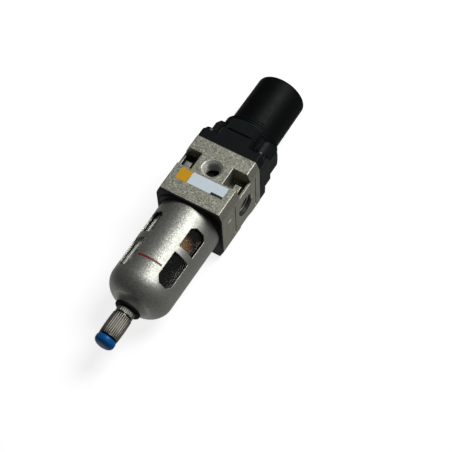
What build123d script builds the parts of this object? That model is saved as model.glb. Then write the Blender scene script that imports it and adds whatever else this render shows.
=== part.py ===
"""Modular filter regulator, 40 mm square body. Millimetres, +Z up towards the knob.

The origin is on the centre line, at the middle of the panel thread on the bonnet's neck.
The front, with the gauge port, faces -Y. Air enters at -X and leaves at +X.
Heights are counted from the body's top face by up(), so that they can be measured on the bench.
"""
from build123d import *
from math import cos, radians, sin
import os

os.makedirs("parts", exist_ok=True)

# Main sizes
BODY_SIDE = 40.0
BODY_HEIGHT = 37.8
BODY_TOP = -23.0
HALF = BODY_SIDE / 2
CORNER_X = 2.0
CORNER_Y = 5.2

# Ports
PORT_DROP = -14.6
PORT_R = 5.72
PORT_DEPTH = 10.0
PORT_MOUTH_R = 6.9
GAUGE_R = 4.28
GAUGE_DEPTH = 8.4
GAUGE_MOUTH_R = 5.7

# Chambers inside the body
RIM_R = 16.2
RIM_DEPTH = 1.2
UPPER_R = 13.0
UPPER_FLOOR = -7.0
SEAT_UNDER = -10.5
SEAT_R = 3.8
LOWER_R = 8.6
BOWL_BORE_TOP = -27.5
BOWL_BORE_R = 16.4

# Pockets for the modular clamps
POCKET_IN = 9.6
POCKET_BACK = 8.0
POCKET_TOP = -8.9
POCKET_BOTTOM = -20.3
KEY_IN = 13.4
KEY_OUT = 17.0
KEY_FRONT = 13.7
KEY_TOP = -13.4
RAIL_IN = 18.6

# Bonnet
FLANGE_TOP = 7.0
WALL_TOP = 11.5
WALL_HALF = 9.9
DOME_BOTTOM = 12.6
DOME_HALF = 19.2
DOME_FLAT = 6.3
DOME_CUT = 2.9
SCREW_AT = 15.4
SCREW_HEAD_R = 3.0
SCREW_HEAD_TOP = 9.0
NECK_R = 16.5
NECK_BOTTOM = 21.0
NECK_TOP = 25.0
NECK_PITCH = 1.25
SPRING_BORE_R = 10.4
TOWER_R = 12.0
TOWER_TOP = 50.5
TOWER_CEILING = 47.5

# Knob and adjusting screw
KNOB_FOOT = 25.8
KNOB_TOP = 58.6
KNOB_R = 14.65
KNOB_TOP_R = 14.4
KNOB_CAVITY_R = 12.3
HEX_SIDE_TO_SIDE = 8.6
SCREW_R = 3.95

# Bowl and guard
GUARD_TOP = -39.1
GUARD_R = 18.4
GUARD_WALL = 0.9
SHOULDER = -86.0
NECK_END = -98.5
BOWL_R = 16.7
BOWL_WALL = 1.7
WINDOW_ANGLES = (-135.0, -45.8, 45.0, 135.0)

# Drain
NIPPLE_R = 4.3
DRAIN_BORE_R = 3.9
BUTTON_END = -123.0


def up(height):
    """Height above the body's top face, as a Z of the part."""
    return BODY_TOP + height


def save(piece, name):
    """Label a finished piece and write its file."""
    piece.part.label = name
    export_step(piece.part, f"parts/{name}.step")


def block(x, y, z, mode=Mode.ADD):
    """A box from its two limits on each axis, z counted from the body's top face."""
    size = [high - low for low, high in (x, y, z)]
    centre = (sum(x) / 2, sum(y) / 2, up(sum(z) / 2))
    with Locations(centre):
        Box(*size, mode=mode)


def rod(radius, low, high, mode=Mode.ADD, at=(0, 0)):
    """An upright cylinder between two heights."""
    with Locations((at[0], at[1], up((low + high) / 2))):
        Cylinder(radius, high - low, mode=mode)


def lathe(*points, mode=Mode.ADD):
    """A ring or disc turned from a closed outline of (radius, height) points."""
    with BuildSketch(Plane.XZ) as section:
        with BuildLine():
            Polyline(*[(r, up(h)) for r, h in points], close=True)
        make_face()
    revolve(section.sketch, axis=Axis.Z, mode=mode)


def torus(radius, thickness, height):
    """An O-ring lying flat at a height."""
    with Locations((0, 0, up(height))):
        Torus(radius, thickness / 2)


def coil(radius, wire_r, low, high, turns):
    """A compression spring standing between two heights, with ground ends left out."""
    rise = high - low - 2 * wire_r
    with BuildLine() as wire:
        path = Helix(rise / turns, rise, radius, center=(0, 0, up(low) + wire_r))
    with BuildSketch(Plane(path @ 0, z_dir=path % 0)) as section:
        Circle(wire_r)
    sweep(section.sketch, path=wire.line, is_frenet=True)


def cut_plate(wide, deep, cut_x, cut_y, low, high):
    """A plate of those half sizes with its four corners cut off, between two heights."""
    x, y = wide - cut_x, deep - cut_y
    corners = [(x, -deep), (wide, -y), (wide, y), (x, deep)]
    corners += [(-x, deep), (-wide, y), (-wide, -y), (-x, -deep)]
    with BuildSketch(Plane.XY.offset(up(low))) as plan:
        with BuildLine():
            Polyline(*corners, close=True)
        make_face()
    extrude(plan.sketch, amount=high - low)


def slab(inset, low, high):
    """The square plan of the body, set in from its faces, between two heights."""
    cut_plate(HALF - inset, HALF - inset, CORNER_X, CORNER_Y, low, high)


def turned(point, quarter):
    """A point of the plan turned by a number of quarter turns."""
    for _ in range(quarter):
        point = (-point[1], point[0])
    return point


# Body
def port_bore(direction, radius, depth, mouth):
    """A port from one face, at the smaller radius of its thread, with a chamfered mouth."""
    x, y = direction
    face = Plane((x * HALF, y * HALF, up(PORT_DROP)), x_dir=(x, y, 0), z_dir=(y, -x, 0))
    outline = [(0, 0), (0, mouth), (radius - mouth, radius), (-depth, radius), (-depth, 0)]
    with BuildSketch(face) as section:
        with BuildLine():
            Polyline(*outline, close=True)
        make_face()
    revolve(section.sketch, axis=Axis((0, 0, up(PORT_DROP)), (x, y, 0)), mode=Mode.SUBTRACT)


def clamp_pockets():
    """Four deep pockets at the corners, each with a low key and a full rail left standing in it."""
    cuts = (
        (POCKET_IN, KEY_IN, POCKET_BACK, HALF, POCKET_BOTTOM, POCKET_TOP),
        (KEY_IN, KEY_OUT, POCKET_BACK, HALF, KEY_TOP, POCKET_TOP),
        (KEY_OUT, RAIL_IN, POCKET_BACK, HALF, POCKET_BOTTOM, POCKET_TOP),
        (KEY_IN, HALF, KEY_FRONT, HALF, POCKET_BOTTOM, POCKET_TOP),
        (14.1, 17.7, 13.5, 15.4, POCKET_TOP, POCKET_TOP + 0.9),
    )
    for side in (-1, 1):
        for front in (-1, 1):
            for x0, x1, y0, y1, low, high in cuts:
                xs = sorted((side * x0, side * x1))
                ys = sorted((front * y0, front * y1))
                block(xs, ys, (low, high), Mode.SUBTRACT)


with BuildPart() as body:
    slab(0, -BODY_HEIGHT, 0)
    fillet(body.edges().filter_by(Axis.Z), 0.4)
    rod(RIM_R, -RIM_DEPTH, 0, Mode.SUBTRACT)
    rod(UPPER_R, UPPER_FLOOR, 0, Mode.SUBTRACT)
    rod(LOWER_R, BOWL_BORE_TOP, SEAT_UNDER, Mode.SUBTRACT)
    rod(SEAT_R + 0.8, SEAT_UNDER - 0.6, SEAT_UNDER)
    rod(SEAT_R, SEAT_UNDER - 0.6, UPPER_FLOOR, Mode.SUBTRACT)
    rod(BOWL_BORE_R, -BODY_HEIGHT, BOWL_BORE_TOP, Mode.SUBTRACT)
    for x_way in (-1, 1):
        port_bore((x_way, 0), PORT_R, PORT_DEPTH, PORT_MOUTH_R)
    for y_way in (-1, 1):
        port_bore((0, y_way), GAUGE_R, GAUGE_DEPTH, GAUGE_MOUTH_R)
        rod(0.8, PORT_DROP, UPPER_FLOOR, Mode.SUBTRACT, (0, y_way * (HALF - GAUGE_DEPTH + 0.4)))
    for angle in (160, 180, 200):
        inlet = (12.6 * cos(radians(angle)), 12.6 * sin(radians(angle)))
        rod(1.9, BOWL_BORE_TOP, PORT_DROP, Mode.SUBTRACT, inlet)
    for y in (-3.4, 0, 3.4):
        rod(1.4, PORT_DROP, UPPER_FLOOR, Mode.SUBTRACT, (11.2, y))
    clamp_pockets()
    for x_way in (-1, 1):
        for height in (-4.2, -25.0):
            xs = sorted((x_way * (HALF - 1.8), x_way * HALF))
            block(xs, (-13, 13), (height - 0.55, height + 0.55), Mode.SUBTRACT)
        with Locations((x_way * HALF, -1.3, up(-31.0))):
            Box(0.5, 10.5, 3.0)
    for x in (-SCREW_AT, SCREW_AT):
        for y in (-SCREW_AT, SCREW_AT):
            rod(1.65, UPPER_FLOOR, 0, Mode.SUBTRACT, (x, y))
save(body, "body")


# Bonnet
def dome_block(low, high):
    """A square block whose corners are scooped round the screws."""
    flat = (DOME_FLAT, -DOME_HALF)
    edge = (DOME_FLAT + DOME_CUT, -DOME_HALF + DOME_CUT)
    deep = SCREW_AT - (SCREW_AT - edge[0]) * 0.73
    with BuildSketch(Plane.XY.offset(up(low))) as plan:
        with BuildLine():
            for quarter in range(4):
                start, scoop = turned(flat, quarter), turned(edge, quarter)
                middle = turned((deep, -deep), quarter)
                end = turned((-edge[1], -edge[0]), quarter)
                flat_end = turned((-flat[1], -flat[0]), quarter)
                Line(start, scoop)
                ThreePointArc(scoop, middle, end)
                Line(end, flat_end)
                Line(flat_end, turned(flat, quarter + 1))
        make_face()
    extrude(plan.sketch, amount=high - low)


def crown():
    """The round shoulder that tops the dome, as the space the dome may fill."""
    with BuildSketch(Plane.XZ) as section:
        with BuildLine():
            foot = (27.0, up(DOME_BOTTOM))
            start = (27.0, up(17.3))
            shoulder = (21.2, up(17.3))
            end = (NECK_R, up(NECK_BOTTOM))
            Polyline((0, up(DOME_BOTTOM)), foot, start, shoulder)
            ThreePointArc(shoulder, (19.75, up(20.2)), end)
            Polyline(end, (0, up(NECK_BOTTOM)), (0, up(DOME_BOTTOM)))
        make_face()
    revolve(section.sketch, axis=Axis.Z, mode=Mode.INTERSECT)


with BuildPart() as dome:
    dome_block(DOME_BOTTOM, NECK_BOTTOM)
    crown()

with BuildPart() as bonnet:
    slab(0.1, 0, FLANGE_TOP)
    fillet(bonnet.edges().filter_by(Axis.Z), 1.2)
    fillet(bonnet.edges().group_by(Axis.Z)[-1], 1.8)
    cut_plate(WALL_HALF, HALF - 0.1, 1.2, 1.9, 0, WALL_TOP)
    cut_plate(HALF - 0.1, WALL_HALF, 1.9, 1.2, 0, WALL_TOP)
    rod(16.0, WALL_TOP, DOME_BOTTOM)
    add(dome.part)
    lathe((0, DOME_BOTTOM), (15.6, DOME_BOTTOM), (15.6, NECK_BOTTOM - 0.9), (NECK_R, NECK_BOTTOM),
          (NECK_R, NECK_TOP), (0, NECK_TOP))
    for ring in range(3):
        at = NECK_BOTTOM + 0.85 + NECK_PITCH * ring
        lathe((NECK_R + 0.3, at - 0.5), (NECK_R - 0.55, at - 0.1), (NECK_R - 0.55, at + 0.1),
              (NECK_R + 0.3, at + 0.5), mode=Mode.SUBTRACT)
    rod(NECK_R - 1.2, NECK_TOP, KNOB_FOOT - 0.2)
    rod(TOWER_R, KNOB_FOOT - 0.5, TOWER_TOP)
    rod(SPRING_BORE_R, 0, TOWER_CEILING, Mode.SUBTRACT)
    rod(UPPER_R, 0, 5.2, Mode.SUBTRACT)
    rod(5.05, TOWER_CEILING, TOWER_TOP, Mode.SUBTRACT)
    block((-11.2, 11.2), (-1.6, 1.6), (22.0, TOWER_CEILING), Mode.SUBTRACT)
    for x in (-SCREW_AT, SCREW_AT):
        for y in (-SCREW_AT, SCREW_AT):
            rod(2.25, 0, FLANGE_TOP, Mode.SUBTRACT, (x, y))
            rod(SCREW_HEAD_R + 0.4, 5.6, FLANGE_TOP, Mode.SUBTRACT, (x, y))
    with BuildSketch(Plane.XZ.offset(-HALF)):
        with Locations((0, up(9.0))):
            Circle(0.8)
    extrude(amount=HALF - SPRING_BORE_R + 1, mode=Mode.SUBTRACT)
save(bonnet, "bonnet")

with BuildPart() as bonnet_screws:
    for x in (-SCREW_AT, SCREW_AT):
        for y in (-SCREW_AT, SCREW_AT):
            rod(1.6, -6.5, 5.6, at=(x, y))
            rod(SCREW_HEAD_R, 5.65, SCREW_HEAD_TOP, at=(x, y))
    fillet(bonnet_screws.edges().group_by(Axis.Z)[-1], 0.7)
    for x in (-SCREW_AT, SCREW_AT):
        for y in (-SCREW_AT, SCREW_AT):
            for long, short in ((3.6, 0.9), (0.9, 3.6)):
                block((x - long / 2, x + long / 2), (y - short / 2, y + short / 2),
                      (SCREW_HEAD_TOP - 1.4, SCREW_HEAD_TOP), Mode.SUBTRACT)
            rod(1.6, 5.5, 5.7, at=(x, y))
save(bonnet_screws, "bonnet_screws")

# Knob
with BuildPart() as knob:
    with BuildSketch(Plane.XY.offset(up(KNOB_FOOT))):
        Circle(KNOB_R)
    lean = (KNOB_R - KNOB_TOP_R) / (KNOB_TOP - KNOB_FOOT)
    with BuildSketch(Plane.XY.offset(up(KNOB_TOP))):
        Circle(KNOB_TOP_R)
    loft()
    fillet(knob.edges().group_by(Axis.Z)[-1], 1.8)
    lathe((KNOB_R - 1, KNOB_FOOT), (KNOB_R + 0.7, KNOB_FOOT), (KNOB_R + 0.7, KNOB_FOOT + 0.8),
          (KNOB_R, KNOB_FOOT + 1.4), (KNOB_R - 1, KNOB_FOOT + 1.4))
    rod(KNOB_CAVITY_R, KNOB_FOOT, 52.0, Mode.SUBTRACT)
    with BuildSketch(Plane.XY.offset(up(52.0))):
        RegularPolygon(HEX_SIDE_TO_SIDE / 2 + 0.1, 6, major_radius=False)
    extrude(amount=4.8, mode=Mode.SUBTRACT)
    with PolarLocations(KNOB_R, 2, start_angle=-5):
        with Locations((0, 0, up(42.8))):
            Box(1.5, 1.5, 23.0, mode=Mode.SUBTRACT)
    with PolarLocations(KNOB_R - 0.2, 1, start_angle=-66):
        with Locations((0, 0, up(33.0))):
            Box(1.0, 1.6, 11.0)
save(knob, "knob")

# Adjusting screw, its clip and the travelling nut
with BuildPart() as adjusting_screw:
    rod(SCREW_R, 22.5, 45.2)
    chamfer(adjusting_screw.edges().group_by(Axis.Z)[0], 0.8)
    for ring in range(16):
        at = 24.4 + 1.25 * ring
        lathe((SCREW_R + 1, at - 0.5), (SCREW_R - 0.4, at), (SCREW_R + 1, at + 0.5), mode=Mode.SUBTRACT)
    rod(7.0, 45.2, TOWER_CEILING - 0.1)
    rod(4.98, TOWER_CEILING - 0.1, 50.6)
    rod(4.0, 50.6, 51.5)
    with BuildSketch(Plane.XY.offset(up(51.5))):
        RegularPolygon(HEX_SIDE_TO_SIDE / 2, 6, major_radius=False)
    extrude(amount=4.2)
save(adjusting_screw, "adjusting_screw")

with BuildPart() as screw_clip:
    lathe((4.05, 50.65), (6.3, 50.65), (6.3, 51.45), (4.05, 51.45))
    block((3, 7), (-1.6, 1.6), (50.6, 51.5), Mode.SUBTRACT)
save(screw_clip, "screw_clip")

with BuildPart() as adjusting_nut:
    rod(9.9, 36.0, 40.0)
    rod(6.4, 34.2, 36.0)
    block((-10.9, 10.9), (-1.4, 1.4), (36.0, 40.0))
    rod(SCREW_R + 0.06, 34.2, 40.0, Mode.SUBTRACT)
save(adjusting_nut, "adjusting_nut")

with BuildPart() as regulating_spring:
    coil(7.9, 1.05, 4.2, 36.0, 6.5)
save(regulating_spring, "regulating_spring")

# Diaphragm and its two plates
with BuildPart() as diaphragm_plate:
    rod(9.8, 2.6, 4.2)
    rod(6.3, 4.2, 5.6)
    fillet(diaphragm_plate.edges().group_by(Axis.Z)[-1], 0.6)
    rod(2.4, -0.6, 2.6)
    rod(0.9, -0.6, 5.6, Mode.SUBTRACT)
save(diaphragm_plate, "diaphragm_plate")

with BuildPart() as diaphragm:
    lathe((13.2, -1.18), (16.1, -1.18), (16.1, -0.02), (12.8, -0.02), (12.0, 1.2), (9.9, 2.5),
          (2.5, 2.5), (2.5, 1.45), (9.6, 1.45), (11.3, 0.5))
save(diaphragm, "diaphragm")

with BuildPart() as diaphragm_retainer:
    rod(8.6, 0.3, 1.4)
    chamfer(diaphragm_retainer.edges().group_by(Axis.Z)[0], 0.4)
    rod(2.46, 0.3, 1.4, Mode.SUBTRACT)
save(diaphragm_retainer, "diaphragm_retainer")

# Main valve
with BuildPart() as valve_stem:
    rod(1.4, -14.0, -0.65)
    fillet(valve_stem.edges().group_by(Axis.Z)[-1], 0.6)
save(valve_stem, "valve_stem")

with BuildPart() as valve_poppet:
    rod(5.6, -17.0, -12.7)
    rod(2.64, -25.1, -17.0)
    chamfer(valve_poppet.edges().group_by(Axis.Z)[0], 0.5)
    rod(1.46, -14.2, -12.7, Mode.SUBTRACT)
save(valve_poppet, "valve_poppet")

with BuildPart() as valve_disc:
    lathe((1.5, -12.65), (5.5, -12.65), (5.5, -11.15), (1.5, -11.15))
save(valve_disc, "valve_disc")

with BuildPart() as valve_spring:
    coil(4.3, 0.4, -25.0, -17.0, 5)
save(valve_spring, "valve_spring")

with BuildPart() as valve_guide:
    rod(8.3, -27.7, -20.8)
    rod(10.2, -30.2, -27.7)
    rod(6.0, -34.0, -30.2)
    lathe((7.4, -26.0), (9.0, -26.0), (9.0, -24.6), (7.4, -24.6), mode=Mode.SUBTRACT)
    rod(5.3, -25.0, -20.8, Mode.SUBTRACT)
    rod(2.7, -26.6, -25.0, Mode.SUBTRACT)
    rod(2.06, -34.0, -28.0, Mode.SUBTRACT)
    with PolarLocations(4.0, 6):
        with Locations((0, 0, up(-30.0))):
            Cylinder(0.9, 10.0, mode=Mode.SUBTRACT)
save(valve_guide, "valve_guide")

with BuildPart() as guide_o_ring:
    torus(7.98, 1.1, -25.3)
save(guide_o_ring, "guide_o_ring")

# Filter
with BuildPart() as louver:
    lathe((9.7, -32.9), (15.4, -32.9), (15.4, -31.4), (9.7, -31.4))
    lathe((9.7, -49.8), (10.8, -49.8), (10.8, -32.9), (9.7, -32.9))
    fillet(louver.edges().group_by(Axis.Z)[0], 0.3)
    with PolarLocations(13.0, 14):
        with Locations(Location((0, 0, up(-32.15)), (38, 0, 0))):
            Box(3.4, 0.9, 4.0, mode=Mode.SUBTRACT)
save(louver, "louver")

with BuildPart() as filter_element:
    lathe((6.3, -60.0), (9.3, -60.0), (9.3, -30.4), (6.3, -30.4))
save(filter_element, "filter_element")

with BuildPart() as baffle:
    lathe((0, -62.0), (7.0, -62.0), (11.6, -63.6), (11.9, -62.8), (9.4, -60.1), (0, -60.1))
    rod(2.0, -62.0, -28.2)
    for angle in range(0, 180, 45):
        with Locations(Location((0, 0, up(-65.2)), (0, 0, angle))):
            Box(15.0, 1.0, 6.6)
save(baffle, "baffle")


# Bowl, its ring and the guard
def bowl_shell():
    """The clear bowl as one turned wall with a rounded bottom and a drain nipple."""
    outer, inner = BOWL_R, BOWL_R - BOWL_WALL
    with BuildSketch(Plane.XZ) as section:
        with BuildLine():
            Polyline((15.0, up(SHOULDER)), (inner, up(-41.0)), (13.4, up(-39.0)), (13.4, up(-33.1)),
                     (15.1, up(-33.1)), (15.1, up(-42.2)), (outer, up(-42.2)), (outer, up(SHOULDER)))
            ThreePointArc((outer, up(SHOULDER)), (14.2, up(-91.9)), (8.6, up(-95.2)))
            Polyline((8.6, up(-95.2)), (5.8, up(-96.6)), (5.8, up(-98.3)), (NIPPLE_R, up(-98.3)),
                     (NIPPLE_R, up(-105.8)), (1.9, up(-105.8)), (1.9, up(-94.4)), (7.6, up(-93.4)))
            ThreePointArc((7.6, up(-93.4)), (12.6, up(-90.6)), (15.0, up(SHOULDER)))
        make_face()
    revolve(section.sketch, axis=Axis.Z)


with BuildPart() as bowl:
    bowl_shell()
save(bowl, "bowl")

with BuildPart() as bowl_o_ring:
    torus(15.76, 1.15, -33.9)
save(bowl_o_ring, "bowl_o_ring")

with BuildPart() as bowl_ring:
    lathe((15.2, -42.1), (17.4, -42.1), (17.4, -39.2), (16.25, -39.2), (16.25, -34.7), (15.2, -34.7))
save(bowl_ring, "bowl_ring")

with BuildPart() as bowl_collar:
    slab(0.9, -39.35, -38.6)
    rod(21.4, -39.35, -38.6, Mode.INTERSECT)
    slab(0.15, -38.8, -BODY_HEIGHT)
    rod(GUARD_R + 0.5, -39.5, -38.7, Mode.SUBTRACT)
    rod(BOWL_BORE_R, -39.5, -BODY_HEIGHT, Mode.SUBTRACT)
save(bowl_collar, "bowl_collar")


def guard_profile(wall):
    """Points down the guard's section: at no wall on the outside, else on the inside."""
    points = [
        (GUARD_R - wall, GUARD_TOP),
        (GUARD_R - 0.3 - wall, SHOULDER),
        (GUARD_R - 2.2 - wall * 0.8, SHOULDER - 5.6 + wall * 0.6),
        (11.2 - wall * 0.3, SHOULDER - 9.7 + wall),
        (8.4 - wall * 0.6, SHOULDER - 10.9 + wall * 0.8),
        (7.1 - wall, NECK_END),
    ]
    return [(r, up(h)) for r, h in points]


def guard_shell():
    """The guard as one turned sheet, from the collar to the neck at the drain."""
    top, side, turn, floor, hollow, end = guard_profile(0)
    top_in, side_in, turn_in, floor_in, hollow_in, end_in = guard_profile(GUARD_WALL)
    with BuildSketch(Plane.XZ) as section:
        with BuildLine():
            Line(top, side)
            ThreePointArc(side, turn, floor)
            ThreePointArc(floor, hollow, end)
            Line(end, end_in)
            ThreePointArc(end_in, hollow_in, floor_in)
            ThreePointArc(floor_in, turn_in, side_in)
            Line(side_in, top_in)
            Line(top_in, top)
        make_face()
    revolve(section.sketch, axis=Axis.Z)


def window(angle, *corners):
    """One window of the guard, cut along a radius. Corners are (sideways, height)."""
    way = Vector(cos(radians(angle)), sin(radians(angle)), 0)
    side = Vector(-way.Y, way.X, 0)
    with BuildSketch(Plane(way * 8, x_dir=side, z_dir=way)) as opening:
        with BuildLine():
            Polyline(*[(s, up(h)) for s, h in corners], close=True)
        make_face()
    extrude(opening.sketch, amount=14, mode=Mode.SUBTRACT)


with BuildPart() as bowl_guard:
    guard_shell()
    for angle in WINDOW_ANGLES:
        window(angle, (-2.8, -47.3), (2.8, -47.3), (5.2, -49.6), (5.2, -61.3), (-5.2, -61.3), (-5.2, -49.6))
        window(angle, (-5.2, -65.1), (5.2, -65.1), (5.2, -80.6), (2.6, -84.1), (-2.6, -84.1), (-5.2, -80.6))
save(bowl_guard, "bowl_guard")

# Drain
with BuildPart() as guard_ring:
    lathe((NIPPLE_R + 0.1, -99.9), (6.9, -99.9), (7.3, -99.5), (7.3, -98.6), (NIPPLE_R + 0.1, -98.6))
save(guard_ring, "guard_ring")


def sleeve(radius, low, high, rim):
    """A sleeve with both of its rims cut at an angle."""
    lathe((0, low), (radius - rim, low), (radius, low + rim), (radius, high - rim),
          (radius - rim, high), (0, high))


with BuildPart() as drain_lock_ring:
    sleeve(5.1, -103.2, -99.95, 0.35)
    rod(NIPPLE_R + 0.08, -103.2, -99.95, Mode.SUBTRACT)
save(drain_lock_ring, "drain_lock_ring")

with BuildPart() as drain_body:
    sleeve(5.6, -117.6, -104.0, 0.5)
    rod(NIPPLE_R + 0.05, -105.9, -104.0, Mode.SUBTRACT)
    rod(1.7, -107.0, -104.0, Mode.SUBTRACT)
    rod(DRAIN_BORE_R, -117.6, -107.0, Mode.SUBTRACT)
save(drain_body, "drain_body")

with BuildPart() as drain_button:
    rod(5.6, BUTTON_END, -118.6)
    fillet(drain_button.edges().group_by(Axis.Z)[0], 1.8)
    rod(3.75, -118.6, -115.4)
    rod(1.45, -118.6, -115.4, Mode.SUBTRACT)
save(drain_button, "drain_button")

with BuildPart() as drain_stem:
    rod(1.4, -118.5, -93.2)
    rod(2.6, -93.2, -92.4)
    fillet(drain_stem.edges().group_by(Axis.Z)[-1], 0.3)
save(drain_stem, "drain_stem")

with BuildPart() as drain_seal:
    lathe((1.45, -94.3), (3.2, -94.05), (3.2, -93.25), (1.45, -93.25))
save(drain_seal, "drain_seal")

with BuildPart() as drain_spring:
    coil(2.9, 0.35, -115.4, -107.0, 6)
save(drain_spring, "drain_spring")

# Plug in the rear gauge port
with BuildPart() as rear_plug:
    with BuildSketch(Plane((0, HALF - 0.6, up(PORT_DROP)), z_dir=(0, 1, 0))):
        Circle(GAUGE_R - 0.04)
    extrude(amount=-6.4)
    with BuildSketch(Plane((0, HALF - 0.6, up(PORT_DROP)), z_dir=(0, 1, 0))):
        RegularPolygon(2.5, 6, major_radius=False)
    extrude(amount=-3.6, mode=Mode.SUBTRACT)
save(rear_plug, "rear_plug")


# Blank stickers on the front
def sticker(centre, size, lean):
    """A thin label on the front face, square to the body or slightly askew."""
    face = Plane((0, -HALF, up(0)), x_dir=(1, 0, 0), z_dir=(0, -1, 0))
    with BuildSketch(face) as label:
        with Locations(Location((centre[0], centre[1], 0), (0, 0, lean))):
            RectangleRounded(*size, 0.4)
    extrude(label.sketch, amount=0.12)


with BuildPart() as square_sticker:
    sticker((-10.9, -25.3), (6.6, 7.4), 0)
save(square_sticker, "square_sticker")

with BuildPart() as strip_sticker:
    sticker((3.6, -25.0), (21.4, 7.4), 0)
save(strip_sticker, "strip_sticker")
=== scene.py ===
"""Looks of a modular filter regulator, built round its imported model.

Metres, in the part's own frame: +Z along the centre line towards the knob, the gauge port facing -Y.
"""

from math import atan2, cos, radians, sin, tau

import bmesh
import bpy
from mathutils import Matrix, Vector


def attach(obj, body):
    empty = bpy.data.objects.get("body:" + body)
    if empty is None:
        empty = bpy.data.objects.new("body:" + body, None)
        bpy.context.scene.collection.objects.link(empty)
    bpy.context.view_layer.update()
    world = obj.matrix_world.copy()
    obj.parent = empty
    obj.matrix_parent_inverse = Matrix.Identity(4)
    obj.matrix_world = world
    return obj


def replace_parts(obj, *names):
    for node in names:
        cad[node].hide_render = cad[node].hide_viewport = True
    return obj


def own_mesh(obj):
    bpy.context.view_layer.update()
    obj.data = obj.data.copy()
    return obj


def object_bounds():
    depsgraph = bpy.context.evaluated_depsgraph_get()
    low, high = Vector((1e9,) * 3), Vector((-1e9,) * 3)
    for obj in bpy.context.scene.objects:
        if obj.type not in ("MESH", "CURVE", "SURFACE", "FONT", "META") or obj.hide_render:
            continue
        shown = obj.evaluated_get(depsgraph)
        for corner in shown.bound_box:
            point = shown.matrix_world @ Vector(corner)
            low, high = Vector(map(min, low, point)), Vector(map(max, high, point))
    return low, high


MM = 0.001

# Camera, in millimetres and degrees
CAMERA_AT = (244.6, -655.9, -388.4)
CAMERA_AIM = (12.1, 15.9, -45.9)
CAMERA_ROLL = 35.0
CAMERA_LENS = 116.3

# Lamp: where from, how wide in metres, how strong in watts, how far off, and the point it faces
KEY_FROM = (0.32, -0.84, 0.43)
KEY_WIDTH = 0.46
KEY_POWER = 6.0
LAMP_REACH = 0.9
LAMP_AIM = (0, 0, -0.045)

# Brightness of the room, from its left to its right: the wall behind the part, and the room in front of it
WALL_LEVEL = (0.54, 0.28)
FRONT_LEVEL = (0.045, 0.11)

# Floor behind the part, which lies on its back: gap and half width in metres, colour, and its own white
FLOOR_GAP = 0.0005
FLOOR_HALF = 1.5
FLOOR_COLOUR = (0.35, 0.35, 0.35)
FLOOR_GLOW = 0.82

# Drain, in millimetres below the body's top face
BODY_TOP = -23.0
LOCK_RING = (-103.2, -99.95)
LOCK_RING_R = 5.1
SLEEVE = (-117.6, -104.0)
SLEEVE_R = 5.6
NIPPLE_R = 4.38
SLEEVE_BORE = 3.9
SLEEVE_CHAMFER = 0.35
SLEEVE_WAIST = 0.2
NIPPLE_SEAT = -105.9
SPRING_SEAT = -107.0
STEM_HOLE_R = 1.7
KNURL_COUNT = 27
KNURL_DEPTH = 0.34
KNURL_ROW = 0.72
KNURL_PLAIN = 0.4
KNURL_WALL = 0.30
WALL_STEP = 0.09
BUTTON_R = 5.6
BUTTON_TOP = -118.6
BUTTON_END = -123.0
BUTTON_NECK = (1.45, 3.75, -115.4)
BUTTON_DOME = 2.9
BUTTON_ROUND = (0.62, 0.85)

# Threads of the ports: radius at the ridge's foot, pitch, and the two ends along the port
PORT_HEIGHT = -14.6
GAUGE_THREAD = (4.28, 0.907, 12.6, 18.5)
SIDE_THREAD = (5.72, 1.337, 10.9, 18.4)
THREAD_DEPTH = 0.34
THREAD_FOOT = 0.40
THREAD_CREST = 0.06
THREAD_SUNK = 0.05
THREAD_STEPS = 36

# Mouths of the ports: the radii where the bare chamfer ends and where it is full, and how far out it starts
GAUGE_RIM = (5.85, 5.65, 18.4)
SIDE_RIM = (7.05, 6.85, 18.6)

# Painted shade deep in the port bores: radius, and how far out the painted shade begins and is full
GAUGE_BORE_PAINTED_SHADE = (4.45, 18.9, 16.5)
SIDE_BORE_PAINTED_SHADE = (5.9, 19.2, 16.0)
BORE_SHADE = (0.3, 0.97)

# Painted shade in the depths of the clamp pockets: where it begins and is full, across the body and into it,
# then the pocket's outer end and half its height
POCKET_ACROSS = (9.7, 17.2)
POCKET_INTO = (15.0, 9.5)
POCKET_OUTER = 19.9
POCKET_HALF = 6.2
POCKET_SHADE = (0.2, 0.9)

# Painted shadow round the dome's foot, where the gap under the dome lies in shade: heights where the painted
# shadow begins, is full, still is full, and ends
DOME_FOOT_SHADOW_HEIGHTS = (12.2, 12.4, 13.1, 13.5)

# Springs and diaphragm: node, body it stands on, joint that squeezes it,
# heights of its standing end and its other end, and travel
SQUEEZED = (
    ("regulating_spring", "base", "nut_travel", 4.2, 36.0, 6.26),
    ("valve_spring", "base", "valve_stroke", -25.0, -17.0, 1.2),
    ("diaphragm", "base", "valve_stroke", -1.18, 2.5, 1.2),
    ("drain_spring", "drain_sleeve", "drain_push", SPRING_SEAT, -115.4, 0.9),
)
MERGE_WITHIN = 0.000001

# Level line printed on the guard
LINE_HEIGHT = -76.0
LINE_WIDTH = 1.2
LINE_ENDS = (-113.0, -66.0)

# Plain bar on the strip: its left end and its top
BAR_LEFT = 7.2
BAR_TOP = -27.3

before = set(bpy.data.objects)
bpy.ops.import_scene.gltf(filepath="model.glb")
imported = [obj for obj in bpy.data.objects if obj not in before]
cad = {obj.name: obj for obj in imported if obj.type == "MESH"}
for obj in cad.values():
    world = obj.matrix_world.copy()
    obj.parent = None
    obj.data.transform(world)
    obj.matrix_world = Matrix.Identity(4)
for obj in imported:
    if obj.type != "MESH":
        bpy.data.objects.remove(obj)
cad_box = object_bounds()


def up(height):
    """Height in millimetres above the body's top face, as a Z of the part in metres."""
    return (BODY_TOP + height) * MM


# Materials: small tools
def node(tree, kind, inputs=None, **settings):
    """A new shader node. An input is given a value, or another node's output to link."""
    made = tree.nodes.new("ShaderNode" + kind)
    for name, value in settings.items():
        setattr(made, name, value)
    for socket, value in (inputs or {}).items():
        if isinstance(value, bpy.types.NodeSocket):
            tree.links.new(value, made.inputs[socket])
        else:
            made.inputs[socket].default_value = value
    return made


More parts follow.
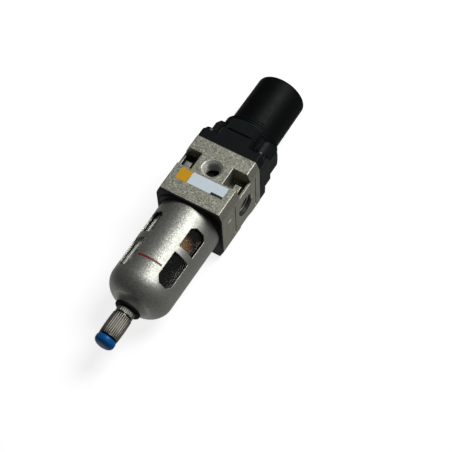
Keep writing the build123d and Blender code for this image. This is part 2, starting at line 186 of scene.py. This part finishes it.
def math(tree, operation, *values):
    """The output of one Math node."""
    made = node(tree, "Math", dict(enumerate(values)), operation=operation)
    return made.outputs[0]


def ramp(tree, value, low, high, out_low=0.0, out_high=1.0):
    """A value moved from one range to another, and held inside it."""
    sockets = {"Value": value, "From Min": low, "From Max": high, "To Min": out_low, "To Max": out_high}
    return node(tree, "MapRange", sockets).outputs[0]


def blend_colour(tree, amount, first, second):
    """Two colours mixed by an amount."""
    made = node(tree, "Mix", data_type="RGBA")
    for socket, value in ((made.inputs["Factor"], amount), (made.inputs[6], first), (made.inputs[7], second)):
        if isinstance(value, bpy.types.NodeSocket):
            tree.links.new(value, socket)
        elif socket.type == "RGBA":
            socket.default_value = (*value, 1.0)
        else:
            socket.default_value = value
    return made.outputs[2]


def effect(name, inputs, outputs):
    """An empty node group with its sockets, its input node and its output node."""
    tree = bpy.data.node_groups.new(name, "ShaderNodeTree")
    for label, value in inputs.items():
        socket = tree.interface.new_socket(label, in_out="INPUT", socket_type="NodeSocketFloat")
        socket.default_value = value
    for label, kind in outputs.items():
        tree.interface.new_socket(label, in_out="OUTPUT", socket_type="NodeSocket" + kind)
    return tree, tree.nodes.new("NodeGroupInput"), tree.nodes.new("NodeGroupOutput")


def place(tree, group, **values):
    """A node group set into a material with its own values."""
    made = node(tree, "Group", node_tree=group)
    for label, value in values.items():
        socket = made.inputs[label.replace("_", " ")]
        if isinstance(value, bpy.types.NodeSocket):
            tree.links.new(value, socket)
        else:
            socket.default_value = value
    return made.outputs


# Materials: shared effects
def make_grain():
    """Fine even grain: soft noise whose grains are Size millimetres across."""
    tree, given, out = effect("grain", {"Size": 0.5, "Contrast": 0.2}, {"Grain": "Float"})
    spot = node(tree, "TexCoord").outputs["Object"]
    scale = math(tree, "DIVIDE", 1000.0, given.outputs["Size"])
    noise = node(tree, "TexNoise", {"Vector": spot, "Scale": scale, "Detail": 2.0, "Roughness": 0.6})
    low = math(tree, "ADD", 0.5, math(tree, "MULTIPLY", given.outputs["Contrast"], -1.0))
    high = math(tree, "ADD", 0.5, given.outputs["Contrast"])
    tree.links.new(ramp(tree, noise.outputs["Fac"], low, high), out.inputs["Grain"])
    return tree


def make_flake():
    """Metal flakes in paint: small cells, each with a shade and a lean of its own."""
    tree, given, out = effect("flake", {"Size": 0.3, "Tilt": 0.2}, {"Shade": "Float", "Lean": "Vector"})
    spot = node(tree, "TexCoord").outputs["Object"]
    scale = math(tree, "DIVIDE", 1000.0, given.outputs["Size"])
    cells = node(tree, "TexVoronoi", {"Vector": spot, "Scale": scale})
    centred = node(tree, "VectorMath", {0: cells.outputs["Color"], 1: (0.5, 0.5, 0.5)}, operation="SUBTRACT")
    tilted = node(tree, "VectorMath", {0: centred.outputs[0], "Scale": given.outputs["Tilt"]}, operation="SCALE")
    split = node(tree, "SeparateColor", {0: cells.outputs["Color"]})
    tree.links.new(split.outputs[0], out.inputs["Shade"])
    tree.links.new(tilted.outputs[0], out.inputs["Lean"])
    return tree


def make_edge():
    """Edges softened over Radius millimetres, and a mask that is white along them."""
    tree, given, out = effect("edge", {"Radius": 0.3}, {"Edge": "Float", "Normal": "Vector"})
    radius = math(tree, "MULTIPLY", given.outputs["Radius"], MM)
    soft = node(tree, "Bevel", {"Radius": radius}, samples=6)
    true = node(tree, "NewGeometry").outputs["True Normal"]
    same = node(tree, "VectorMath", {0: soft.outputs[0], 1: true}, operation="DOT_PRODUCT")
    tree.links.new(ramp(tree, same.outputs["Value"], 0.995, 0.85), out.inputs["Edge"])
    tree.links.new(soft.outputs[0], out.inputs["Normal"])
    return tree


GRAIN = make_grain()
FLAKE = make_flake()
EDGE = make_edge()


def finish(name, **sockets):
    """A new material, and its shader with the plain values set on its own sockets."""
    material = bpy.data.materials.new(name)
    material.use_nodes = True
    shader = material.node_tree.nodes["Principled BSDF"]
    for label, value in sockets.items():
        socket = shader.inputs[label.replace("_", " ")]
        socket.default_value = (*value, 1.0) if socket.type == "RGBA" else value
    return material, material.node_tree, shader


def bump(tree, shader, height, distance, under=None):
    """A bump of that depth in millimetres, over an earlier normal if there is one."""
    sockets = {"Height": height, "Distance": distance * MM, "Strength": 1.0}
    if under is not None:
        sockets["Normal"] = under
    made = node(tree, "Bump", sockets)
    tree.links.new(made.outputs["Normal"], shader.inputs["Normal"])


def uneven(tree, shader, grain, rough, spread):
    """A roughness that wanders by the spread to each side, as a grain says."""
    value = ramp(tree, grain["Grain"], 0.0, 1.0, rough - spread, rough + spread)
    tree.links.new(value, shader.inputs["Roughness"])


# Materials: finishes of this object
BODY_TINTS = ((0.325, 0.325, 0.262), (0.540, 0.540, 0.450))
GUARD_TINTS = ((0.370, 0.376, 0.336), (0.505, 0.513, 0.465))
# Pale paint colour: painted highlight along edges and on glinting flakes, and the bare metal of the port chamfers
HIGHLIGHT_AND_BARE_METAL = (0.880, 0.880, 0.820)
# Painted shade for the port bores and the depths of the clamp pockets
HOLLOW_PAINTED_SHADE = (0.020, 0.020, 0.018)
LINE_RED = (0.200, 0.016, 0.016)
# Painted shadow along the gap at the foot of the bonnet's dome
DOME_FOOT_PAINTED_SHADOW = (0.0004, 0.0004, 0.0004)
BAR_DARK = (0.02, 0.021, 0.024)
BARE_METAL = 0.85
BRONZE_BALLS = 2200.0
GUARD_MIDDLE = -60.0


def outward(tree):
    """A mask that is white where a round shell faces away from its own middle."""
    middle = (0, 0, up(GUARD_MIDDLE))
    spot = node(tree, "TexCoord").outputs["Object"]
    away = node(tree, "VectorMath", {0: spot, 1: middle}, operation="SUBTRACT")
    away = node(tree, "VectorMath", {0: away.outputs[0], 1: (1.0, 1.0, 0.6)}, operation="MULTIPLY")
    away = node(tree, "VectorMath", {0: away.outputs[0]}, operation="NORMALIZE")
    facing = node(tree, "NewGeometry").outputs["Normal"]
    same = node(tree, "VectorMath", {0: away.outputs[0], 1: facing}, operation="DOT_PRODUCT")
    return ramp(tree, same.outputs["Value"], 0.25, 0.40)


def silver_paint(name, tints, flake_size, tilt, rough, edge_radius, printed=None, shade_in_hollows=None):
    """Metallic silver paint with a warm grey cast: grainy, with painted glints on some flakes and a painted
    highlight along its edges.
    """
    material, tree, shader = finish(name, Metallic=BARE_METAL)
    flake = place(tree, FLAKE, Size=flake_size, Tilt=tilt)
    cloud = place(tree, GRAIN, Size=3.0, Contrast=0.35)
    skin = place(tree, GRAIN, Size=0.5, Contrast=0.3)
    colour = blend_colour(tree, flake["Shade"], *tints)
    # Painted glints: a few flakes are made paler in colour
    glint = math(tree, "GREATER_THAN", flake["Shade"], 0.975)
    colour = blend_colour(tree, math(tree, "MULTIPLY", glint, 0.4), colour, HIGHLIGHT_AND_BARE_METAL)
    edge = place(tree, EDGE, Radius=edge_radius)
    # Painted highlight: the edges are made paler all round
    colour = blend_colour(tree, math(tree, "MULTIPLY", edge["Edge"], 0.8), colour, HIGHLIGHT_AND_BARE_METAL)
    if shade_in_hollows:
        colour = blend_colour(tree, math(tree, "MULTIPLY", port_rims(tree), 0.75), colour, HIGHLIGHT_AND_BARE_METAL)
        # Painted shade deep in the port bores and clamp pockets
        colour = blend_colour(tree, shade_in_hollows(tree), colour, HOLLOW_PAINTED_SHADE)
    if printed:
        mask = printed(tree)
        colour = blend_colour(tree, mask, colour, LINE_RED)
        bare = math(tree, "MULTIPLY", math(tree, "SUBTRACT", 1.0, mask), BARE_METAL)
        tree.links.new(bare, shader.inputs["Metallic"])
    tree.links.new(colour, shader.inputs["Base Color"])
    uneven(tree, shader, cloud, rough, 0.05)
    lean = flake["Lean"]
    if printed:
        lean = node(tree, "VectorMath", {0: lean, "Scale": outward(tree)}, operation="SCALE").outputs[0]
    leant = node(tree, "VectorMath", {0: edge["Normal"], 1: lean}, operation="ADD")
    unit = node(tree, "VectorMath", {0: leant.outputs[0]}, operation="NORMALIZE")
    bump(tree, shader, skin["Grain"], 0.015, unit.outputs[0])
    return material


def spot_of(tree):
    """The three coordinates of the point being shaded, in the part's frame."""
    return node(tree, "SeparateXYZ", {0: node(tree, "TexCoord").outputs["Object"]}).outputs


def both(tree, *masks):
    """The product of several masks."""
    total = masks[0]
    for mask in masks[1:]:
        total = math(tree, "MULTIPLY", total, mask)
    return total


def reach(tree, first, second):
    """The distance from an axis, from the two coordinates across it."""
    return node(tree, "VectorMath", {0: node(tree, "CombineXYZ", {0: first, 1: second}).outputs[0]},
                operation="LENGTH").outputs["Value"]


def round_ports(tree):
    """How far the shaded point lies out along x and y, and above the ports' height."""
    spot = spot_of(tree)
    x = math(tree, "ABSOLUTE", spot["X"])
    y = math(tree, "ABSOLUTE", spot["Y"])
    return x, y, math(tree, "SUBTRACT", spot["Z"], up(PORT_HEIGHT))


def port_rims(tree):
    """A mask on the machined chamfers at the mouths of the ports."""
    x, y, z = round_ports(tree)
    masks = []
    for across, along, (ends, full, start) in ((x, y, GAUGE_RIM), (y, x, SIDE_RIM)):
        ring = ramp(tree, reach(tree, across, z), ends * MM, full * MM)
        masks.append(both(tree, ring, math(tree, "GREATER_THAN", along, start * MM)))
    return math(tree, "MAXIMUM", *masks)


def body_hollows_painted_shade(tree):
    """A mask of painted shade deep in the port bores and in the depths of the clamp pockets."""
    x, y, z = round_ports(tree)
    bores = []
    for across, along, (radius, begins, full) in ((x, y, GAUGE_BORE_PAINTED_SHADE), (y, x, SIDE_BORE_PAINTED_SHADE)):
        inside = math(tree, "LESS_THAN", reach(tree, across, z), radius * MM)
        bores.append(both(tree, inside, ramp(tree, along, begins * MM, full * MM, *BORE_SHADE)))
    across = ramp(tree, x, POCKET_ACROSS[0] * MM, POCKET_ACROSS[1] * MM, *POCKET_SHADE)
    beside = both(tree, across, math(tree, "LESS_THAN", x, POCKET_OUTER * MM))
    level = math(tree, "LESS_THAN", math(tree, "ABSOLUTE", z), POCKET_HALF * MM)
    pocket = both(tree, beside, level, ramp(tree, y, POCKET_INTO[0] * MM, POCKET_INTO[1] * MM))
    return math(tree, "MAXIMUM", pocket, math(tree, "MAXIMUM", *bores))


def level_line(tree):
    """A mask that is white on the level line printed round the guard's front."""
    spot = spot_of(tree)
    off = math(tree, "ABSOLUTE", math(tree, "SUBTRACT", spot["Z"], up(LINE_HEIGHT)))
    near = math(tree, "LESS_THAN", off, LINE_WIDTH / 2 * MM)
    angle = math(tree, "ARCTAN2", spot["Y"], spot["X"])
    after = math(tree, "GREATER_THAN", angle, radians(LINE_ENDS[0]))
    before = math(tree, "LESS_THAN", angle, radians(LINE_ENDS[1]))
    return both(tree, near, after, before)


def dome_foot_painted_shadow(tree):
    """A mask of painted shadow along the gap that runs round the foot of the bonnet's dome."""
    height = spot_of(tree)["Z"]
    begins, full, still, ends = (up(level) for level in DOME_FOOT_SHADOW_HEIGHTS)
    return both(tree, ramp(tree, height, begins, full), ramp(tree, height, ends, still))


def moulded(name, colour, pale, rough, gloss=0.12, grain_size=0.35, joint=None):
    """Moulded plastic or rubber: fine texture, uneven gloss, dust specks and paler edges."""
    material, tree, shader = finish(name, Specular_IOR_Level=gloss)
    edge = place(tree, EDGE, Radius=0.25)
    cloud = place(tree, GRAIN, Size=5.0, Contrast=0.25)
    skin = place(tree, GRAIN, Size=grain_size, Contrast=0.3)
    dust = place(tree, GRAIN, Size=0.8, Contrast=0.12)
    # The edges are made paler in colour
    worn = math(tree, "MULTIPLY", edge["Edge"], 0.45)
    specks = math(tree, "MULTIPLY", math(tree, "POWER", dust["Grain"], 6.0), 0.12)
    tint = blend_colour(tree, math(tree, "ADD", worn, specks), colour, pale)
    if joint:
        # Painted shadow along the gap at the dome's foot
        tint = blend_colour(tree, joint(tree), tint, DOME_FOOT_PAINTED_SHADOW)
    tree.links.new(tint, shader.inputs["Base Color"])
    uneven(tree, shader, cloud, rough, 0.06)
    bump(tree, shader, skin["Grain"], 0.012, edge["Normal"])
    return material


def metal(name, colour, dark, rough):
    """Bare or plated metal with fine marks and a softened edge."""
    material, tree, shader = finish(name, Metallic=1.0)
    edge = place(tree, EDGE, Radius=0.12)
    marks = place(tree, GRAIN, Size=0.4, Contrast=0.22)
    stain = place(tree, GRAIN, Size=2.2, Contrast=0.2)
    tint = blend_colour(tree, math(tree, "MULTIPLY", stain["Grain"], 0.5), colour, dark)
    tree.links.new(tint, shader.inputs["Base Color"])
    uneven(tree, shader, marks, rough, 0.07)
    bump(tree, shader, marks["Grain"], 0.006, edge["Normal"])
    return material


def knurled_metal(name, radius):
    """Nickel plate with painted shade darkening the grooves of its knurling."""
    material, tree, shader = finish(name, Metallic=1.0)
    spot = spot_of(tree)
    groove_painted_shade = ramp(tree, reach(tree, spot["X"], spot["Y"]), (radius - 0.12) * MM, (radius - 0.38) * MM)
    marks = place(tree, GRAIN, Size=0.4, Contrast=0.22)
    stain = place(tree, GRAIN, Size=2.2, Contrast=0.2)
    tint = blend_colour(tree, math(tree, "MULTIPLY", stain["Grain"], 0.5), (0.44, 0.43, 0.38), (0.28, 0.26, 0.20))
    # Painted shade: the knurl's grooves are made dark
    tint = blend_colour(tree, groove_painted_shade, tint, (0.030, 0.028, 0.023))
    tree.links.new(tint, shader.inputs["Base Color"])
    uneven(tree, shader, marks, 0.39, 0.07)
    bump(tree, shader, marks["Grain"], 0.006)
    return material


def sintered(name):
    """Sintered bronze: small balls pressed together, with darker gaps."""
    material, tree, shader = finish(name, Metallic=0.35, Roughness=0.62)
    spot = node(tree, "TexCoord").outputs["Object"]
    balls = node(tree, "TexVoronoi", {"Vector": spot, "Scale": BRONZE_BALLS})
    cloud = place(tree, GRAIN, Size=3.5, Contrast=0.2)
    gap = ramp(tree, balls.outputs["Distance"], 0.15, 0.65)
    tint = blend_colour(tree, cloud["Grain"], (0.56, 0.30, 0.14), (0.68, 0.46, 0.26))
    tint = blend_colour(tree, gap, tint, (0.24, 0.12, 0.05))
    tree.links.new(tint, shader.inputs["Base Color"])
    bump(tree, shader, math(tree, "SUBTRACT", 1.0, balls.outputs["Distance"]), 0.12)
    return material


def clear_bowl(name):
    """Clear moulded polycarbonate with a wavy inner wall, tinted grey as painted shade, so that the guard's
    inside reads darker through it.
    """
    # Grey tint: painted shade for the dark inside of the guard
    material, tree, shader = finish(
        name, Base_Color=(0.76, 0.77, 0.75), Roughness=0.03, IOR=1.58, Transmission_Weight=1.0)
    waves = place(tree, GRAIN, Size=7.0, Contrast=0.4)
    bump(tree, shader, waves["Grain"], 0.01)
    shadow = node(tree, "LightPath").outputs["Is Shadow Ray"]
    clear = node(tree, "BsdfTransparent", {"Color": (0.95, 0.95, 0.94, 1.0)})
    mixed = node(tree, "MixShader", {0: shadow, 1: shader.outputs[0], 2: clear.outputs[0]})
    tree.links.new(mixed.outputs[0], tree.nodes["Material Output"].inputs["Surface"])
    return material


def label(name, colour, worn, bar=None):
    """A blank printed label with slightly scuffed ink and, if given, one plain bar."""
    material, tree, shader = finish(name, Roughness=0.45, Specular_IOR_Level=0.3)
    scuff = place(tree, GRAIN, Size=0.5, Contrast=0.18)
    cloud = place(tree, GRAIN, Size=4.0, Contrast=0.3)
    tint = blend_colour(tree, math(tree, "MULTIPLY", cloud["Grain"], 0.5), colour, worn)
    if bar:
        tint = blend_colour(tree, bar(tree), tint, BAR_DARK)
    tree.links.new(tint, shader.inputs["Base Color"])
    bump(tree, shader, scuff["Grain"], 0.01)
    return material


def strip_bar(tree):
    """A mask for the plain dark bar at the strip's lower right corner."""
    spot = spot_of(tree)
    right = math(tree, "GREATER_THAN", spot["X"], BAR_LEFT * MM)
    low = math(tree, "LESS_THAN", spot["Z"], up(BAR_TOP))
    return both(tree, right, low)


BODY_PAINT = silver_paint("body_paint", BODY_TINTS, 0.46, 0.13, 0.46, 0.6, shade_in_hollows=body_hollows_painted_shade)
GUARD_PAINT = silver_paint("guard_paint", GUARD_TINTS, 0.30, 0.19, 0.47, 0.28, printed=level_line)
BLACK_BONNET = moulded("bonnet_plastic", (0.0050, 0.0074, 0.0078), (0.035, 0.040, 0.042), 0.50, joint=dome_foot_painted_shadow)
BLACK_KNOB = moulded("knob_plastic", (0.0030, 0.0033, 0.0036), (0.022, 0.024, 0.026), 0.50, 0.09)
BLACK_INNER = moulded("inner_plastic", (0.005, 0.005, 0.0052), (0.020, 0.020, 0.020), 0.55)
SMOKED_LOUVER = moulded("louver_plastic", (0.024, 0.018, 0.011), (0.050, 0.042, 0.030), 0.45, 0.3)
BLACK_COLLAR = moulded("collar_plastic", (0.006, 0.0062, 0.0060), (0.030, 0.030, 0.029), 0.50)
RUBBER = moulded("black_rubber", (0.010, 0.010, 0.010), (0.030, 0.030, 0.030), 0.70)
BLUE_BUTTON = moulded("blue_plastic", (0.004, 0.115, 0.400), (0.012, 0.170, 0.500), 0.30, 0.16, 0.6)
NICKEL = metal("nickel_plate", (0.50, 0.49, 0.44), (0.36, 0.33, 0.27), 0.40)
BRASS = metal("turned_brass", (0.74, 0.55, 0.24), (0.55, 0.36, 0.14), 0.30)
STEEL = metal("spring_steel", (0.58, 0.58, 0.57), (0.34, 0.33, 0.32), 0.32)
BLACK_STEEL = metal("blackened_steel", (0.040, 0.041, 0.043), (0.020, 0.020, 0.021), 0.42)
THREAD_PAINT = metal("thread_metal", (0.60, 0.60, 0.55), (0.42, 0.42, 0.38), 0.40)
BRONZE = sintered("sintered_bronze")
BOWL_CLEAR = clear_bowl("clear_polycarbonate")
ORANGE_LABEL = label("orange_label", (0.78, 0.40, 0.010), (0.56, 0.29, 0.010))
PALE_LABEL = label("pale_label", (0.78, 0.90, 0.96), (0.66, 0.77, 0.83), bar=strip_bar)

FINISHES = {
    "body": BODY_PAINT,
    "bonnet": BLACK_BONNET,
    "bonnet_screws": BLACK_STEEL,
    "knob": BLACK_KNOB,
    "adjusting_screw": BRASS,
    "screw_clip": STEEL,
    "adjusting_nut": BRASS,
    "regulating_spring": STEEL,
    "diaphragm_plate": BRASS,
    "diaphragm": RUBBER,
    "diaphragm_retainer": BRASS,
    "valve_stem": STEEL,
    "valve_poppet": BRASS,
    "valve_disc": RUBBER,
    "valve_spring": STEEL,
    "valve_guide": BLACK_INNER,
    "guide_o_ring": RUBBER,
    "louver": SMOKED_LOUVER,
    "filter_element": BRONZE,
    "baffle": BLACK_INNER,
    "bowl": BOWL_CLEAR,
    "bowl_o_ring": RUBBER,
    "bowl_ring": BLACK_COLLAR,
    "bowl_collar": BLACK_COLLAR,
    "bowl_guard": GUARD_PAINT,
    "guard_ring": RUBBER,
    "drain_lock_ring": NICKEL,
    "drain_body": NICKEL,
    "drain_button": BLUE_BUTTON,
    "drain_stem": BRASS,
    "drain_seal": RUBBER,
    "drain_spring": STEEL,
    "rear_plug": STEEL,
    "square_sticker": ORANGE_LABEL,
    "strip_sticker": PALE_LABEL,
}
for name, material in FINISHES.items():
    cad[name].data.materials.clear()
    cad[name].data.materials.append(material)


# Pieces
def keep(mesh, name, material, body):
    """A finished mesh as a piece that rides on a body."""
    bmesh.ops.recalc_face_normals(mesh, faces=mesh.faces)
    data = bpy.data.meshes.new(name)
    mesh.to_mesh(data)
    mesh.free()
    data.materials.append(material)
    piece = bpy.data.objects.new(name, data)
    bpy.context.scene.collection.objects.link(piece)
    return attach(piece, body)


def turned_piece(outline, steps):
    """A closed outline of (radius, height) points in millimetres, spun all the way round."""
    mesh = bmesh.new()
    points = [mesh.verts.new((r * MM, 0, up(h))) for r, h in outline]
    edges = [mesh.edges.new((points[i - 1], points[i])) for i in range(len(points))]
    bmesh.ops.spin(mesh, geom=points + edges, cent=(0, 0, 0), axis=(0, 0, 1), angle=tau, steps=steps,
                   use_merge=True)
    bmesh.ops.remove_doubles(mesh, verts=mesh.verts, dist=MERGE_WITHIN)
    return mesh


def knurl(mesh, radius, low, high, count, depth):
    """Cuts grooves along and across the outer wall, so that small studs stand in columns."""
    for vert in mesh.verts:
        across = vert.co.to_2d().length / MM
        height = vert.co.z / MM - BODY_TOP
        if across < radius - KNURL_WALL or not low + KNURL_PLAIN < height < high - KNURL_PLAIN:
            continue
        column = abs(sin(atan2(vert.co.y, vert.co.x) * count / 2))
        row = abs(sin((height - low - KNURL_PLAIN) / KNURL_ROW * tau / 2))
        sunk = (across - depth * (1 - min(column, 0.2 + row)) ** 1.5) / across
        vert.co.x *= sunk
        vert.co.y *= sunk


def knurled_sleeve(name, node_name, body, radius, span, inside, count, waist=0.0):
    """A plated sleeve whose outer wall is knurled. Inside are the points of its bore, from top to bottom."""
    low, high = span
    rows = int((high - low) / WALL_STEP)
    edge = radius - SLEEVE_CHAMFER
    tall = high - low - 2 * SLEEVE_CHAMFER
    wall = [(radius - waist * (2 * i / rows - 1) ** 2, low + SLEEVE_CHAMFER + tall * i / rows)
            for i in range(rows + 1)]
    mesh = turned_piece([(edge, low)] + wall + [(edge, high)] + inside, count * 8)
    knurl(mesh, radius, low, high, count, KNURL_DEPTH)
    piece = keep(mesh, name, knurled_metal(name, radius), body)
    piece.data.shade_smooth()
    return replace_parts(piece, node_name)


def domed_button():
    """The drain button: a hollow neck, a round head and a softly domed end."""
    bore, neck, neck_top = BUTTON_NECK
    outline = [(0, BUTTON_TOP), (bore, BUTTON_TOP), (bore, neck_top), (neck, neck_top), (neck, BUTTON_TOP),
               (BUTTON_R - 0.35, BUTTON_TOP), (BUTTON_R - 0.1, BUTTON_TOP - 0.1), (BUTTON_R, BUTTON_TOP - 0.35)]
    side, end = BUTTON_ROUND
    for step in range(17):
        turn = radians(90 * step / 16)
        outline.append((BUTTON_R * cos(turn) ** side, BUTTON_END + BUTTON_DOME - BUTTON_DOME * sin(turn) ** end))
    outline[-1] = (0, BUTTON_END)
    piece = keep(turned_piece(outline, 72), "drain_button_domed", BLUE_BUTTON, "drain_plunger")
    piece.data.shade_smooth()
    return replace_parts(piece, "drain_button")


def thread_ridge(name, way, size):
    """The ridge of a port's thread, wound round the inside of its bore."""
    radius, pitch, near, far = size
    way = Vector(way)
    foot = Vector((0, 0, up(PORT_HEIGHT)))
    foot_r = radius + THREAD_SUNK
    crest_r = radius - THREAD_DEPTH
    section = ((foot_r, -THREAD_FOOT), (crest_r, -THREAD_CREST), (crest_r, THREAD_CREST), (foot_r, THREAD_FOOT))
    steps = int((far - near) / pitch * THREAD_STEPS)
    mesh = bmesh.new()
    points = [mesh.verts.new(foot + way * (near + along * pitch) * MM + Vector((0, 0, across * MM)))
              for across, along in section]
    edges = [mesh.edges.new((points[i - 1], points[i])) for i in range(len(points))]
    bmesh.ops.spin(mesh, geom=points + edges, cent=foot, axis=way, dvec=way * (pitch / THREAD_STEPS * MM),
                   angle=tau * steps / THREAD_STEPS, steps=steps)
    bmesh.ops.holes_fill(mesh, edges=[edge for edge in mesh.edges if edge.is_boundary], sides=4)
    piece = keep(mesh, name, THREAD_PAINT, "base")
    return piece


def squeezed_piece(node_name, body, joint, standing, other, travel):
    """A copy of a node that stays with one body."""
    mesh = bmesh.new()
    mesh.from_mesh(cad[node_name].data)
    bmesh.ops.remove_doubles(mesh, verts=mesh.verts, dist=MERGE_WITHIN)
    piece = keep(mesh, node_name + "_squeezed", FINISHES[node_name], body)
    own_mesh(piece)
    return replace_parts(piece, node_name)


knurled_sleeve("lock_ring_knurled", "drain_lock_ring", "bowl_unit", LOCK_RING_R, LOCK_RING,
               [(NIPPLE_R, LOCK_RING[1]), (NIPPLE_R, LOCK_RING[0])], KNURL_COUNT - 3)
knurled_sleeve("drain_sleeve_knurled", "drain_body", "drain_sleeve", SLEEVE_R, SLEEVE,
               [(NIPPLE_R, SLEEVE[1]), (NIPPLE_R, NIPPLE_SEAT), (STEM_HOLE_R, NIPPLE_SEAT),
                (STEM_HOLE_R, SPRING_SEAT), (SLEEVE_BORE, SPRING_SEAT), (SLEEVE_BORE, SLEEVE[0])],
               KNURL_COUNT, SLEEVE_WAIST)
domed_button()
for soft_node in SQUEEZED:
    squeezed_piece(*soft_node)
thread_ridge("gauge_thread", (0, -1, 0), GAUGE_THREAD)
thread_ridge("inlet_thread", (-1, 0, 0), SIDE_THREAD)
thread_ridge("outlet_thread", (1, 0, 0), SIDE_THREAD)


# Stage
def pale_floor():
    """The pale floor under the part's back. The camera alone sees it, and only from the part's side."""
    mesh = bmesh.new()
    bmesh.ops.create_grid(mesh, x_segments=1, y_segments=1, size=FLOOR_HALF)
    bmesh.ops.rotate(mesh, verts=mesh.verts, cent=(0, 0, 0), matrix=Matrix.Rotation(radians(90), 3, "X"))
    bmesh.ops.translate(mesh, verts=mesh.verts, vec=(0, cad_box[1][1] + FLOOR_GAP, 0))
    data = bpy.data.meshes.new("floor")
    mesh.to_mesh(data)
    mesh.free()
    material, tree, shader = finish("floor_paint", Base_Color=FLOOR_COLOUR, Roughness=0.9, Specular_IOR_Level=0.0,
                                    Emission_Color=(1.0, 1.0, 1.0), Emission_Strength=FLOOR_GLOW)
    material.cycles.emission_sampling = "NONE"
    back = node(tree, "NewGeometry").outputs["Backfacing"]
    seen = node(tree, "LightPath").outputs["Is Camera Ray"]
    hidden = math(tree, "MAXIMUM", back, math(tree, "SUBTRACT", 1.0, seen))
    clear = node(tree, "BsdfTransparent")
    mixed = node(tree, "MixShader", {0: hidden, 1: shader.outputs[0], 2: clear.outputs[0]})
    tree.links.new(mixed.outputs[0], tree.nodes["Material Output"].inputs["Surface"])
    data.materials.append(material)
    floor = bpy.data.objects.new("floor", data)
    bpy.context.scene.collection.objects.link(floor)


def surroundings():
    """White to the camera. For the rest, a pale wall behind the part and a dim room in front of it.

    Seen through the bowl, the wall behind is as white as it is to the camera.
    """
    world = bpy.data.worlds.new("room")
    bpy.context.scene.world = world
    world.use_nodes = True
    tree = world.node_tree
    shader = tree.nodes["Background"]
    way = node(tree, "SeparateXYZ", {0: node(tree, "TexCoord").outputs["Generated"]}).outputs
    behind = ramp(tree, way["Y"], 0.15, 0.75)
    front = ramp(tree, way["X"], -0.2, 0.6, *FRONT_LEVEL)
    wall = ramp(tree, way["X"], -0.3, 0.3, *WALL_LEVEL)
    path = node(tree, "LightPath").outputs
    wall = math(tree, "MAXIMUM", wall, path["Is Transmission Ray"])
    level = math(tree, "ADD", front, math(tree, "MULTIPLY", behind, math(tree, "SUBTRACT", wall, front)))
    room = node(tree, "CombineColor", {0: level, 1: level, 2: level}).outputs[0]
    colour = blend_colour(tree, path["Is Camera Ray"], room, (1.0, 1.0, 1.0))
    tree.links.new(colour, shader.inputs["Color"])


def lamp(name, towards, width, power):
    """A square soft lamp that faces the part from a direction."""
    light = bpy.data.lights.new(name, "AREA")
    light.shape = "SQUARE"
    light.size = width
    light.energy = power
    thing = bpy.data.objects.new(name, light)
    way = Vector(towards).normalized()
    thing.location = Vector(LAMP_AIM) + way * LAMP_REACH
    thing.rotation_euler = way.to_track_quat("Z", "Y").to_euler()
    bpy.context.scene.collection.objects.link(thing)


def camera():
    """The camera, aimed and rolled as the photograph was taken."""
    data = bpy.data.cameras.new("camera")
    data.lens = CAMERA_LENS
    data.sensor_width = 36.0
    data.clip_start = 0.01
    thing = bpy.data.objects.new("camera", data)
    place_at = Vector(CAMERA_AT) * MM
    aim = Vector(CAMERA_AIM) * MM
    turn = (aim - place_at).to_track_quat("-Z", "Y").to_matrix()
    roll = Matrix.Rotation(radians(CAMERA_ROLL), 3, "Z")
    thing.matrix_world = Matrix.Translation(place_at) @ (turn @ roll).to_4x4()
    bpy.context.scene.collection.objects.link(thing)
    bpy.context.scene.camera = thing


pale_floor()
surroundings()
lamp("key", KEY_FROM, KEY_WIDTH, KEY_POWER)
camera()
bpy.context.scene.view_settings.view_transform = "Standard"
